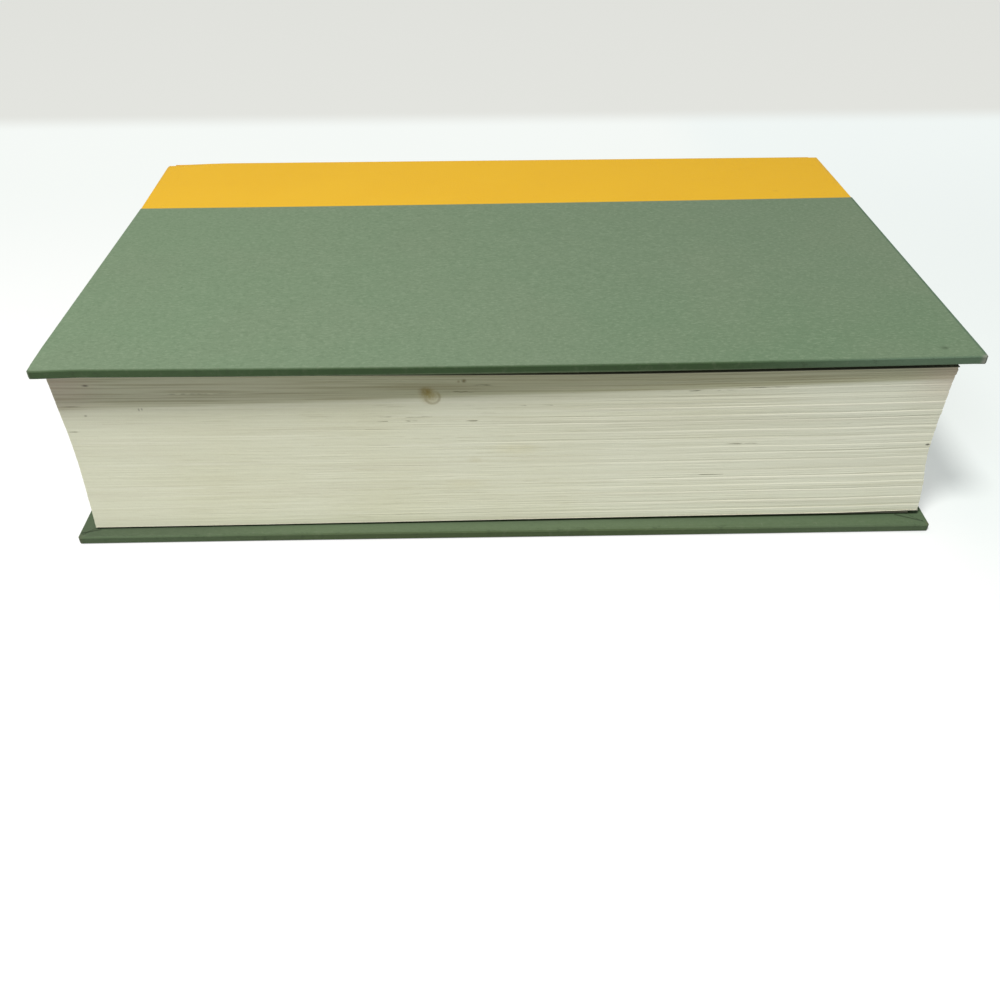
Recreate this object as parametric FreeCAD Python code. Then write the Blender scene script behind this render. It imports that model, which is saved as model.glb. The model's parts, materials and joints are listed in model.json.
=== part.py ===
import FreeCAD, Part
import math
import os

os.makedirs("parts", exist_ok=True)

# A quarter bound hardback book, closed and lying on its back cover, in millimetres.
# X runs along the spine, -Y is the fore edge, +Y is the spine and +Z is up.
# The origin is at the centre of the underside.

# Text block, sewn from folded signatures
leaf_width = 155.6
leaf_height = 234.9
signature_count = 18
signature_thickness = 2.78
groove_depth = 0.25
groove_half_width = 0.3
fold_radius = 0.8
spine_round = 1.0

# Endpapers, one folded sheet at each end of the block
flyleaf_thickness = 0.12
pastedown_thickness = 0.12
leaf_clearance = 0.1

# Boards and how far they stand past the leaves
board_thickness = 2.2
fore_square = 4.25
head_square = 3.2
joint_width = 6.55
edge_ease = 0.4
corner_ease = 0.7

# Side papers
paper_thickness = 0.15
paper_back_margin = 43.5
turn_in = 15.0
mitre_width = 0.2
mitre_setback = 1.2

# Spine cloth
cloth_thickness = 0.3
cloth_overlap = 4.0
cloth_corner_radius = 1.2
joint_press = 0.9

# Mull and spine linings
mull_thickness = 0.25
mull_reach = 28.0
mull_setback = 13.0
lining_thickness = 0.2
lining_setback = 1.0
glue_line = 0.08
hollow_gap = 0.2
inlay_thickness = 0.8

# Headband and tailband
band_thickness = 0.3
band_tab = 8.0
bead_height = 1.7
bead_depth = 1.3
bead_radius = 0.45

# Hinges
hinge_gap = 0.2
hinge_lift = 0.25

# How far a cutting shape stands past what it cuts
beyond = 1.0

# Heights, from the table up
cover_thickness = board_thickness + 2 * paper_thickness
block_height = signature_count * signature_thickness
inner_gap = pastedown_thickness + leaf_clearance + flyleaf_thickness
book_thickness = 2 * (cover_thickness + inner_gap) + block_height
cover_inside = book_thickness - cover_thickness
block_bottom = cover_thickness + inner_gap
block_top = block_bottom + block_height
middle = book_thickness / 2

# Layers on the spine, each counted outward from the folds
band_layer = max(mull_thickness, band_thickness)
lining_inside = glue_line + band_layer + glue_line
spine_turn_inside = lining_inside + lining_thickness + hollow_gap
inlay_inside = spine_turn_inside + cloth_thickness + glue_line
spine_cloth_inside = inlay_inside + inlay_thickness + glue_line
spine_stack = spine_cloth_inside + cloth_thickness

# Places across the book, from the fore edge to the spine
book_depth = fore_square + leaf_width + spine_round + spine_stack
cover_front = -book_depth / 2
leaf_front = cover_front + fore_square
shoulder = leaf_front + leaf_width
board_back = shoulder - joint_width
paper_edge = board_back - paper_back_margin
cloth_edge = paper_edge - cloth_overlap

# Places along the book
leaf_end = leaf_height / 2
board_end = leaf_end + head_square
cloth_end = board_end - paper_thickness
mull_end = leaf_end - mull_setback

# Layers over the joint, each counted outward from the inside of the cover
joint_layer = max(mull_thickness, cloth_thickness)
lip_top = cover_inside + joint_layer + cloth_thickness - joint_press

# The rounded spine is an arc about a line that runs along the book
spine_half_height = block_height / 2 - joint_press
spine_radius = (spine_half_height ** 2 + spine_round ** 2) / (2 * spine_round)
spine_centre = shoulder + spine_round - spine_radius
inlay_half_height = lip_top - cloth_corner_radius - middle

# An offset face shortens a 45 degree chamfer by this share of the offset
chamfer_share = 2 - math.sqrt(2)


def point(x, y, z):
    return FreeCAD.Vector(x, y, z)


def block(x0, x1, y0, y1, z0, z1):
    return Part.makeBox(x1 - x0, y1 - y0, z1 - z0, point(x0, y0, z0))


def face_of(edges):
    return Part.Face(Part.Wire(edges))


def outline(points):
    return Part.Face(Part.makePolygon(points + points[:1]))


def along_x(section, x0, x1):
    """A (y, z) outline carried from x0 to x1."""
    return outline([point(x0, y, z) for y, z in section]).extrude(point(x1 - x0, 0, 0))


def along_y(section, y0, y1):
    """An (x, z) outline carried from y0 to y1."""
    return outline([point(x, y0, z) for x, z in section]).extrude(point(0, y1 - y0, 0))


def both_ends(make):
    """The same piece at the head and at the tail."""
    head = make()
    tail = head.mirror(point(0, 0, 0), point(1, 0, 0))
    return head.fuse(tail)


def turned_over(shape):
    """The matching piece on the other side of the block."""
    return shape.mirror(point(0, 0, middle), point(0, 0, 1))


def one_solid(shape):
    """The shape as its only solid, with faces that run on joined up."""
    (solid,) = shape.removeSplitter().Solids
    return solid


def long_edges(shape, least, is_there):
    """The edges over a least length whose ends all lie in one place."""
    return [
        edge for edge in shape.Edges
        if edge.Length > least and all(is_there(corner) for corner in edge.Vertexes)
    ]


def eased_rectangle(a0, a1, b0, b1, ease):
    """A rectangle with its four corners cut off at 45 degrees."""
    if ease <= 0:
        return [(a0, b0), (a1, b0), (a1, b1), (a0, b1)]
    return [
        (a0 + ease, b0), (a1 - ease, b0), (a1, b0 + ease), (a1, b1 - ease),
        (a1 - ease, b1), (a0 + ease, b1), (a0, b1 - ease), (a0, b0 + ease),
    ]


def cover_form(inset):
    """The finished front cover's outer form, taken in by an inset on every side."""
    end = board_end - inset
    front = cover_front + inset
    back = board_back - inset
    low = cover_inside + inset
    high = book_thickness - inset
    ease = edge_ease - inset * chamfer_share
    corner = max(corner_ease - inset * chamfer_share, 0)
    plan = [
        (-end + corner, front), (end - corner, front), (end, front + corner),
        (end, back), (-end, back), (-end, front + corner),
    ]
    if corner == 0:
        plan = [(-end, front), (end, front), (end, back), (-end, back)]
    base = outline([point(x, y, low) for x, y in plan])
    slab = base.extrude(point(0, 0, high - low))
    across = along_x(eased_rectangle(front, back, low, high, ease), -end, end)
    lengthwise = along_y(eased_rectangle(-end, end, low, high, ease), front, back)
    return slab.common(across).common(lengthwise)


def joint_drop(y):
    """How far the layers over the joint are pressed in at a place across the book."""
    return joint_press * max(y - board_back, 0) / joint_width


def joint_sheet(y0, y1, low, high, x0, x1):
    """A sheet that lies flat on the board and slopes down over the joint."""
    stops = [y0, board_back, y1]
    under = [(y, low - joint_drop(y)) for y in stops]
    over = [(y, high - joint_drop(y)) for y in reversed(stops)]
    return along_x(under + over, x0, x1)


def spine_place(radius, z):
    """Where an arc of the rounded spine lies across the book at a height."""
    return spine_centre + math.sqrt(radius ** 2 - (z - middle) ** 2)


def spine_layer(inner, outer, half_height, x0, x1):
    """A curved strip on the spine between two offsets from the folds."""
    near = spine_radius + inner
    far = spine_radius + outer
    low = middle - half_height
    high = middle + half_height
    a = point(x0, spine_place(near, low), low)
    b = point(x0, spine_place(far, low), low)
    c = point(x0, spine_place(far, high), high)
    d = point(x0, spine_place(near, high), high)
    outside = Part.Arc(b, point(x0, spine_centre + far, middle), c).toShape()
    inside = Part.Arc(d, point(x0, spine_centre + near, middle), a).toShape()
    ends = [Part.makeLine(a, b), Part.makeLine(c, d)]
    return face_of([ends[0], outside, ends[1], inside]).extrude(point(x1 - x0, 0, 0))


def round_offset(z):
    """How far the rounding moves a leaf toward the spine at a height."""
    return spine_place(spine_radius, z) - shoulder


def signature(index):
    """One folded signature, eased where it meets the next one."""
    low = block_bottom + index * signature_thickness
    high = low + signature_thickness
    shift = max(round_offset((low + high) / 2), 0)
    front = leaf_front + shift
    back = shoulder + shift
    sweep = fold_radius * (1 - math.sqrt(0.5))
    fold_low = [
        point(-leaf_end, back - fold_radius, low),
        point(-leaf_end, back - sweep, low + sweep),
        point(-leaf_end, back, low + fold_radius),
    ]
    fold_high = [
        point(-leaf_end, back, high - fold_radius),
        point(-leaf_end, back - sweep, high - sweep),
        point(-leaf_end, back - fold_radius, high),
    ]
    fore = [
        fold_high[2],
        point(-leaf_end, front + groove_depth, high),
        point(-leaf_end, front, high - groove_half_width),
        point(-leaf_end, front, low + groove_half_width),
        point(-leaf_end, front + groove_depth, low),
        fold_low[0],
    ]
    edges = [
        Part.Arc(*fold_low).toShape(),
        Part.makeLine(fold_low[2], fold_high[0]),
        Part.Arc(*fold_high).toShape(),
    ]
    edges += [Part.makeLine(fore[i], fore[i + 1]) for i in range(len(fore) - 1)]
    folded = face_of(edges).extrude(point(leaf_height, 0, 0))
    end_view = [
        (-leaf_end + groove_depth, low), (leaf_end - groove_depth, low),
        (leaf_end, low + groove_half_width), (leaf_end, high - groove_half_width),
        (leaf_end - groove_depth, high), (-leaf_end + groove_depth, high),
        (-leaf_end, high - groove_half_width), (-leaf_end, low + groove_half_width),
    ]
    return folded.common(along_y(end_view, front - beyond, back + beyond))


def text_block():
    """All the leaves, with their shoulders pressed in beside the joints."""
    signatures = [signature(i) for i in range(signature_count)]
    leaves = signatures[0].multiFuse(signatures[1:])
    past = shoulder + spine_round + beyond
    nip = along_x(
        [
            (board_back, block_top), (past, block_top - joint_drop(past)),
            (past, block_top + beyond), (board_back, block_top + beyond),
        ],
        -board_end, board_end,
    )
    return one_solid(leaves.cut(nip).cut(turned_over(nip)))


def flyleaf():
    low = block_top
    high = block_top + flyleaf_thickness
    return joint_sheet(leaf_front, shoulder, low, high, -leaf_end, leaf_end)


def pastedown():
    low = cover_inside - pastedown_thickness
    hinge_side = shoulder - hinge_gap / 2
    return joint_sheet(leaf_front, hinge_side, low, cover_inside, -leaf_end, leaf_end)


def mull_flap():
    """The mull's flap, let into the board and carried over the joint."""
    low = cover_inside + joint_layer - mull_thickness
    high = cover_inside + joint_layer
    hinge_side = shoulder - hinge_gap / 2
    return joint_sheet(board_back - mull_reach, hinge_side, low, high, -mull_end, mull_end)


def mitre_slit():
    """The slit where two turn-ins of the side paper meet at a corner."""
    start = mitre_setback * math.sqrt(2)
    stop = turn_in * math.sqrt(2) + mitre_width
    slit = block(
        start, stop, -mitre_width / 2, mitre_width / 2,
        cover_inside - beyond, cover_inside + paper_thickness,
    )
    slit.rotate(point(0, 0, 0), point(0, 0, 1), 45)
    slit.translate(point(-board_end, cover_front, 0))
    return slit


def side_paper():
    """Green paper over the board, turned in at the head, tail and fore edge."""
    wrap = cover_form(0).cut(cover_form(paper_thickness))
    zone = block(
        -board_end - beyond, board_end + beyond, cover_front - beyond, paper_edge,
        cover_inside - beyond, book_thickness + beyond,
    )
    window = block(
        turn_in - board_end, board_end - turn_in, cover_front + turn_in, board_back,
        cover_inside - beyond, cover_inside + paper_thickness,
    )
    return one_solid(wrap.common(zone).cut(window).cut(both_ends(mitre_slit)))


def cloth_lap():
    """Spine cloth glued round the board's back, turned in at the head and tail."""
    inner = paper_thickness + cloth_thickness
    wrap = cover_form(paper_thickness).cut(cover_form(inner))
    zone = block(
        -board_end, board_end, cloth_edge, board_back,
        cover_inside, book_thickness,
    )
    window = block(
        turn_in - board_end, board_end - turn_in, cover_front, board_back,
        cover_inside - beyond, cover_inside + joint_layer,
    )
    hinge_side = shoulder - hinge_gap / 2
    strip = joint_sheet(
        board_back - inner, hinge_side,
        cover_inside + joint_layer, cover_inside + joint_layer + cloth_thickness,
        -cloth_end, cloth_end,
    )

    def joint_turn_in():
        return joint_sheet(
            board_back - inner, hinge_side,
            cover_inside + joint_layer - cloth_thickness, cover_inside + joint_layer,
            board_end - turn_in, cloth_end,
        )

    return one_solid(wrap.common(zone).cut(window).fuse(strip).fuse(both_ends(joint_turn_in)))


def board(coverings):
    """Greyboard, pressed in under everything that is glued over it."""
    core = cover_form(paper_thickness)
    field = block(
        turn_in - board_end, board_end - turn_in, cover_front + turn_in, board_back,
        cover_inside, cover_inside + 2 * paper_thickness,
    )
    back = block(
        -board_end, board_end, board_back - paper_thickness - cloth_thickness, board_back,
        cover_inside - beyond, book_thickness,
    )
    shape = core.fuse(field).cut(back)
    for covering in coverings:
        shape = shape.cut(covering)
    return one_solid(shape)


def spine_mull():
    inside = glue_line
    outside = glue_line + mull_thickness
    return spine_layer(inside, outside, spine_half_height, -mull_end, mull_end)


def spine_lining():
    half_height = spine_half_height - lining_setback
    end = leaf_end - lining_setback
    outside = lining_inside + lining_thickness
    return spine_layer(lining_inside, outside, half_height, -end, end)


def headband():
    """A corded bead over the ends of the leaves, with its tab glued to the spine."""
    half_height = spine_half_height - lining_setback
    outside = glue_line + band_thickness
    bead = spine_layer(-bead_depth, outside, half_height, leaf_end, leaf_end + bead_height)
    crown = long_edges(bead, half_height, lambda v: v.X > leaf_end + bead_height / 2)
    bead = bead.makeFillet(bead_radius, crown)
    tab = spine_layer(glue_line, outside, half_height, leaf_end - band_tab, leaf_end)
    return one_solid(bead.fuse(tab))


def spine_inlay():
    """A strip of card that stiffens the spine between the joints."""
    end = cloth_end - cloth_thickness - glue_line
    outside = inlay_inside + inlay_thickness
    return spine_layer(inlay_inside, outside, inlay_half_height, -end, end)


def spine_sleeve(inset):
    """The outer form of the spine cloth, taken in by an inset."""
    radius = spine_radius + spine_stack - inset
    high = lip_top - inset
    low = 2 * middle - high
    hinge_side = shoulder + hinge_gap / 2
    a = point(-cloth_end, hinge_side, low)
    b = point(-cloth_end, spine_place(radius, low), low)
    c = point(-cloth_end, spine_place(radius, high), high)
    d = point(-cloth_end, hinge_side, high)
    curve = Part.Arc(b, point(-cloth_end, spine_centre + radius, middle), c).toShape()
    edges = [Part.makeLine(a, b), curve, Part.makeLine(c, d), Part.makeLine(d, a)]
    form = face_of(edges).extrude(point(2 * cloth_end, 0, 0))
    corners = long_edges(form, cloth_end, lambda v: v.Y > shoulder + hinge_gap)
    return form.makeFillet(cloth_corner_radius - inset, corners)


def spine_cloth():
    """Yellow cloth round the inlay, turned in over it at the head and tail."""
    sleeve = spine_sleeve(0).cut(spine_sleeve(cloth_thickness))

    def turned_end():
        fold = spine_layer(
            spine_turn_inside, spine_stack - cloth_thickness / 2, inlay_half_height,
            cloth_end - cloth_thickness, cloth_end,
        )
        turn = spine_layer(
            spine_turn_inside, spine_turn_inside + cloth_thickness, inlay_half_height,
            board_end - turn_in, cloth_end,
        )
        return fold.fuse(turn)

    return one_solid(sleeve.fuse(both_ends(turned_end)))


def front_cover_pieces():
    paper = side_paper()
    cloth = cloth_lap()
    mull = mull_flap()
    return {
        "board": board([cloth, mull, paper]),
        "side_paper": paper,
        "cloth_lap": cloth,
        "mull_flap": mull,
        "pastedown": pastedown(),
    }


def book_pieces():
    head = headband()
    pieces = {
        "text_block": text_block(),
        "front_flyleaf": flyleaf(),
        "back_flyleaf": turned_over(flyleaf()),
        "spine_mull": spine_mull(),
        "spine_lining": spine_lining(),
        "headband": head.mirror(point(0, 0, 0), point(1, 0, 0)),
        "tailband": head,
        "spine_inlay": spine_inlay(),
        "spine_cloth": spine_cloth(),
    }
    for name, shape in front_cover_pieces().items():
        pieces["front_" + name] = shape
        pieces["back_" + name] = turned_over(shape)
    return pieces


for name, shape in book_pieces().items():
    shape.exportStep("parts/" + name + ".step")

hinge_height = lip_top + hinge_lift
print("book", 2 * board_end, book_depth, book_thickness)
print("front hinge", 0, round(shoulder, 4), round(hinge_height, 4))
print("back hinge", 0, round(shoulder, 4), round(book_thickness - hinge_height, 4))
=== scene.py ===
import json
import math

import bmesh
import bpy
from mathutils import Matrix, Vector


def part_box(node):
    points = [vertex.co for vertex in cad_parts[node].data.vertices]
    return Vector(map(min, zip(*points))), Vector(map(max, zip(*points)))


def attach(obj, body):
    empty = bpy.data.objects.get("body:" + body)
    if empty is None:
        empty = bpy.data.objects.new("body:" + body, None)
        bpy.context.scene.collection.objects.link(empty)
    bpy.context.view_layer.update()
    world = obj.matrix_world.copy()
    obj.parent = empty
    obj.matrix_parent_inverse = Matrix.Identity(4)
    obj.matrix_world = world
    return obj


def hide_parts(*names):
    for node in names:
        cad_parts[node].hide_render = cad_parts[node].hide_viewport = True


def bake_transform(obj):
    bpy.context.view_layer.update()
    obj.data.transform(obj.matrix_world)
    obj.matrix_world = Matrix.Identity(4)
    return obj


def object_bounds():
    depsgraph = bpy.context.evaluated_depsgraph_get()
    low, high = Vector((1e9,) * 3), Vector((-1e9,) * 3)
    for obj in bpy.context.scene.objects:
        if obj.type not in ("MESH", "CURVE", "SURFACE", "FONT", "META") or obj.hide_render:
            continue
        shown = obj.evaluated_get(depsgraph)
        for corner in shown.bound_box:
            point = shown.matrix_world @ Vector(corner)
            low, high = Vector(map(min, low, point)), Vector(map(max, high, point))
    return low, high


# A quarter bound hardback book, closed, with its fore edge to the camera.
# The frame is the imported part's: X along the spine, -Y the fore edge, +Z up, in metres.

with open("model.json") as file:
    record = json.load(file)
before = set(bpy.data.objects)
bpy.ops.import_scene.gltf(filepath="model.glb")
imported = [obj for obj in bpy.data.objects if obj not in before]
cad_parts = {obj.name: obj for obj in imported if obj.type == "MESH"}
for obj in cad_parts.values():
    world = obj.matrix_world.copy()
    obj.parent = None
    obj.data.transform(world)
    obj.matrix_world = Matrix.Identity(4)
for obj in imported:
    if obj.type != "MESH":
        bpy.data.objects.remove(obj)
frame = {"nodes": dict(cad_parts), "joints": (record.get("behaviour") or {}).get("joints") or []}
cad_low, cad_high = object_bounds()
nodes = frame["nodes"]
MM = 0.001

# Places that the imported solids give
leaves_low, leaves_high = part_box("text_block")
cover_low, cover_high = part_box("front_side_paper")
strip_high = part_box("front_cloth_lap")[1]
spine_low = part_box("spine_cloth")[0]
middle = (cad_low.z + cad_high.z) / 2
hinge_y = (strip_high.y + spine_low.y) / 2
hinge_z = frame["joints"][0]["pos_m"][2]

# The block is a little thinner at its fore edge. Each pair is the gap at the left and the right
TOP_GAP = (1.6 * MM, 1.15 * MM)
BOTTOM_GAP = (0.45 * MM, 0.95 * MM)
BOTTOM_CORNER_GAP = 0.5 * MM

# Its top leans out of the fore edge to the right, and its foot stands out all along
LEAN = 2.85 * MM
LEAN_SPAN = (-117 * MM, 120 * MM)
FOOT = 1.0 * MM
BLOCK_ROUND = 1.0 * MM
SIGNATURES = 18
SIGNATURE_HEIGHT = (leaves_high.z - leaves_low.z) / SIGNATURES

# The upper board bows: its ends stand up and its middle hangs down
BOW_RISE = 0.54 * MM
BOW_REACH = 98 * MM
BOW_DROP = 0.6 * MM

# Knocked corners of the upper cover: depth, place, and length along and across
KNOCKS = (
    (0.4 * MM, cover_low.x, cover_low.y, 13 * MM, 8 * MM),
    (0.1 * MM, cover_high.x, cover_low.y, 4 * MM, 3 * MM),
    (0.9 * MM, cover_low.x, strip_high.y - 3.5 * MM, 20 * MM, 10 * MM),
)
SPINE_END_DROP = 0.45 * MM
SPINE_END_LENGTH = 20 * MM


# Writing shader and shape sums

class Wire:
    """A socket that adds, multiplies and compares as a number does."""

    def __init__(self, sums, socket):
        self.sums = sums
        self.socket = socket

    def __add__(self, other):
        return self.sums.math("ADD", self, other)

    def __radd__(self, other):
        return self.sums.math("ADD", other, self)

    def __sub__(self, other):
        return self.sums.math("SUBTRACT", self, other)

    def __rsub__(self, other):
        return self.sums.math("SUBTRACT", other, self)

    def __mul__(self, other):
        return self.sums.math("MULTIPLY", self, other)

    def __rmul__(self, other):
        return self.sums.math("MULTIPLY", other, self)

    def __truediv__(self, other):
        return self.sums.math("DIVIDE", self, other)

    def __rtruediv__(self, other):
        return self.sums.math("DIVIDE", other, self)

    def __pow__(self, other):
        return self.sums.math("POWER", self, other)

    def __mod__(self, other):
        return self.sums.math("FLOORED_MODULO", self, other)

    def __lt__(self, other):
        return self.sums.math("LESS_THAN", self, other)

    def __gt__(self, other):
        return self.sums.math("GREATER_THAN", self, other)

    def __abs__(self):
        return self.sums.math("ABSOLUTE", self)


class Sums:
    """Adds nodes to a tree, with their settings first and then their sockets."""

    def __init__(self, tree):
        self.tree = tree

    def add(self, kind, settings=None, values=None, out=0):
        node = self.tree.nodes.new(kind)
        for name, value in (settings or {}).items():
            setattr(node, name, value)
        for name, value in (values or {}).items():
            if isinstance(value, Wire):
                self.tree.links.new(value.socket, node.inputs[name])
            elif isinstance(value, list) and isinstance(value[0], Wire):
                for wire in value:
                    self.tree.links.new(wire.socket, node.inputs[name])
            else:
                node.inputs[name].default_value = value
        return Wire(self, node.outputs[out]) if len(node.outputs) else None

    def math(self, operation, first, second=0.0):
        kind = "ShaderNodeMath"
        return self.add(kind, {"operation": operation}, {0: first, 1: second})

    def vector(self, operation, first, second):
        kind = "ShaderNodeVectorMath"
        return self.add(kind, {"operation": operation}, {0: first, 1: second})

    def join(self, x, y, z):
        return self.add("ShaderNodeCombineXYZ", None, {0: x, 1: y, 2: z})

    def split(self, vector):
        return [
            self.add("ShaderNodeSeparateXYZ", None, {0: vector}, out=axis) for axis in range(3)
        ]

    def fade(self, value, low, high, start=0.0, end=1.0):
        """Runs smoothly from start to end as the value goes from low to high."""
        return self.add(
            "ShaderNodeMapRange", {"interpolation_type": "SMOOTHSTEP"},
            {0: value, 1: low, 2: high, 3: start, 4: end},
        )

    def mix(self, share, first, second):
        """The second colour laid over the first by a share."""
        settings = {"data_type": "RGBA", "blend_type": "MIX"}
        return self.add("ShaderNodeMix", settings, {0: share, 6: first, 7: second}, out=2)

    def noise(self, place, size, detail=2.0, roughness=0.5, stretch=(1, 1, 1), shift=0.0):
        """Cloudy noise with features of a size in millimetres, longer where it is stretched."""
        scale = tuple(1 / (size * MM * s) for s in stretch)
        offset = (shift, shift * 0.7, shift * 1.3)
        at = self.add(
            "ShaderNodeVectorMath", {"operation": "MULTIPLY_ADD"}, {0: place, 1: scale, 2: offset},
        )
        return self.add(
            "ShaderNodeTexNoise", {"noise_dimensions": "3D"},
            {"Vector": at, "Scale": 1.0, "Detail": detail, "Roughness": roughness},
        )


def paint(red, green, blue):
    """A colour by its display values, 0 to 255, as the shader wants it."""
    def linear(c):
        c = c / 255
        return c / 12.92 if c <= 0.04045 else ((c + 0.055) / 1.055) ** 2.4
    return (linear(red), linear(green), linear(blue), 1.0)


class Finish(Sums):
    """A material with one main shader, whose patterns follow the object."""

    def __init__(self, name):
        self.material = bpy.data.materials.new(name)
        self.material.use_nodes = True
        super().__init__(self.material.node_tree)
        self.tree.nodes.clear()
        self.place = self.add("ShaderNodeTexCoord", out="Object")
        self.x, self.y, self.z = self.split(self.place)

    def bump(self, height, depth):
        """A bump of a depth in millimetres."""
        values = {"Height": height, "Strength": 1.0, "Distance": depth * MM}
        return self.add("ShaderNodeBump", None, values)

    def surface(self, colour, roughness, normal, **uniform):
        """Closes the material, with any other shader values by their sockets' names."""
        values = {"Base Color": colour, "Roughness": roughness, "Normal": normal}
        for name, value in uniform.items():
            values[name.replace("_", " ")] = value
        shader = self.add("ShaderNodeBsdfPrincipled", None, values)
        self.add("ShaderNodeOutputMaterial", None, {"Surface": shader})
        return self.material


def weave(finish, pitch, across, along):
    """A plain weave, from 0 in the gaps to 1 on the threads, over two directions."""
    turn = 2 * math.pi / (pitch * MM)
    over = finish.math("SINE", across * turn)
    under = finish.math("SINE", along * turn)
    return 0.5 + 0.5 * over * under


def spot(finish, first, second, places, half_sizes, soft=0.5):
    """1 inside an oval given in millimetres, fading to 0 at its rim."""
    offsets = [
        (value - place * MM) / (half * MM)
        for value, place, half in zip((first, second), places, half_sizes)
    ]
    reach = finish.math("SQRT", offsets[0] * offsets[0] + offsets[1] * offsets[1])
    return finish.fade(reach, 1.0, 1.0 - soft)


def line_between(finish, first, last, half_width):
    """1 on a straight line over x and y between two points in millimetres."""
    length = math.dist(first, last)
    way = [(b - a) / length for a, b in zip(first, last)]
    from_first = [finish.x - first[0] * MM, finish.y - first[1] * MM]
    along = from_first[0] * way[0] + from_first[1] * way[1]
    aside = abs(from_first[0] * way[1] - from_first[1] * way[0])
    near = finish.fade(aside, half_width * MM, 0.0)
    return near * (along > 0.0) * (along < length * MM)


def side_paper_finish():
    """Green book paper: fine mottle, fibres, darker edges, rubbed corners and a few marks."""
    f = Finish("side_paper_green")
    cloud = f.noise(f.place, 34, 2, 0.5)
    mottle = f.noise(f.place, 1.5, 4, 0.75, shift=3.0)
    patch = f.noise(f.place, 7.0, 2, 0.6, shift=37.0)
    fibre = f.noise(f.place, 0.6, 3, 0.7, stretch=(2.2, 1, 1), shift=7.0)
    rubbed = f.noise(f.place, 2.2, 4, 0.7, shift=11.0)
    speck = f.noise(f.place, 1.1, 1, 0.5, shift=19.0)
    # The paper is painted lighter towards the left end of the top
    left_share = f.fade(f.x, 90 * MM, -120 * MM)
    colour = f.mix(left_share, paint(111, 130, 105), paint(116, 137, 109))
    # Painted darker towards the front right of the top
    front_right_share = f.fade(f.y, -20 * MM, -75 * MM) * f.fade(f.x, -10 * MM, 70 * MM)
    colour = f.mix(front_right_share * 0.6, colour, paint(103, 128, 98))
    colour = f.mix(f.fade(cloud, 0.35, 0.7, 0.0, 0.3), colour, paint(120, 134, 110))
    colour = f.mix(f.fade(patch, 0.4, 0.7, 0.0, 0.16), colour, paint(104, 126, 98))
    colour = f.mix(f.fade(mottle, 0.46, 0.66, 0.0, 0.32), colour, paint(94, 114, 88))
    colour = f.mix(f.fade(fibre, 0.48, 0.68, 0.0, 0.3), colour, paint(148, 165, 138))
    colour = f.mix(f.fade(speck, 0.74, 0.8, 0.0, 0.35), colour, paint(84, 102, 78))
    upper = f.z > middle
    front = f.fade(f.y, -81.15 * MM, -81.55 * MM)
    ends = f.fade(abs(f.x), 120.2 * MM, 120.6 * MM)
    side = f.math("MAXIMUM", front, ends)
    inside = f.fade(abs(f.z - middle), 25.5 * MM, 25.3 * MM)
    # Painted shade on the inner faces, for the lower board's strip in front of the block, which
    # lies in shade; darkest at the left
    margin_painted_shade = f.mix(f.fade(f.x, -50 * MM, -100 * MM), paint(83, 99, 71), paint(64, 77, 55))
    margin_painted_shade = f.mix(f.fade(f.x, 40 * MM, 100 * MM), margin_painted_shade, paint(77, 95, 67))
    colour = f.mix(inside, colour, margin_painted_shade)
    lower_edge = f.mix(f.fade(abs(f.x), 30 * MM, 100 * MM), paint(75, 91, 58), paint(82, 100, 72))
    upper_edge = f.mix(f.fade(f.x, -30 * MM, -100 * MM), paint(57, 80, 48), paint(68, 90, 58))
    upper_edge = f.mix(f.fade(f.x, 50 * MM, 105 * MM), upper_edge, paint(92, 115, 92))
    edge = f.mix(upper, lower_edge, upper_edge)
    colour = f.mix(side * (1 - inside), colour, edge)
    for first, last in (
        ((-120.1, -80.0), (-114.9, -78.5)), ((118.4, -81.3), (111.3, -78.1)),
    ):
        seam = line_between(f, first, last, 0.45) * inside * (1 - upper)
        colour = f.mix(seam * 0.95, colour, paint(38, 46, 32))
    front_rim = f.fade(f.y, -80.6 * MM, -81.3 * MM)
    end_rims = f.fade(abs(f.x), 119.7 * MM, 120.4 * MM)
    rim = f.math("MAXIMUM", front_rim, end_rims)
    worn = (rim - side * 0.6) * f.fade(rubbed, 0.52, 0.72)
    colour = f.mix(worn * 0.35, colour, paint(118, 126, 104))
    dirt = side * f.fade(rubbed, 0.45, 0.3)
    colour = f.mix(dirt * 0.4, colour, paint(58, 70, 50))
    lower = 1 - upper
    for place, half, soft, cover, tone, share in (
        ((111.9, -76.9), (1.6, 1.3), 0.9, upper, paint(72, 88, 66), 0.7),
        ((121.0, -82.2), (2.0, 1.8), 0.6, upper, paint(150, 150, 140), 0.7),
        ((-121.2, -82.4), (4.0, 2.4), 0.8, upper, paint(72, 78, 56), 0.7),
        ((120.6, -82.2), (2.2, 1.4), 0.8, lower, paint(120, 100, 74), 0.6),
        ((-121.2, -82.0), (2.6, 2.2), 0.8, lower, paint(96, 98, 76), 0.6),
    ):
        mark = spot(f, f.x, f.y, place, half, soft) * cover
        colour = f.mix(mark * share * f.fade(rubbed, 0.25, 0.55, 0.5, 1.0), colour, tone)
    scratch = f.noise(f.place, 0.35, 1, 0.5, stretch=(1, 26, 1), shift=31.0)
    scratched = f.fade(scratch, 0.76, 0.8) * f.fade(f.x, 30 * MM, 110 * MM)
    colour = f.mix(scratched * 0.35, colour, paint(150, 164, 142))
    grain = f.bump(fibre + 0.7 * mottle, 0.05)
    return f.surface(colour, f.fade(mottle, 0.2, 0.8, 0.66, 0.8), grain, Specular_IOR_Level=0.25)


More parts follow.
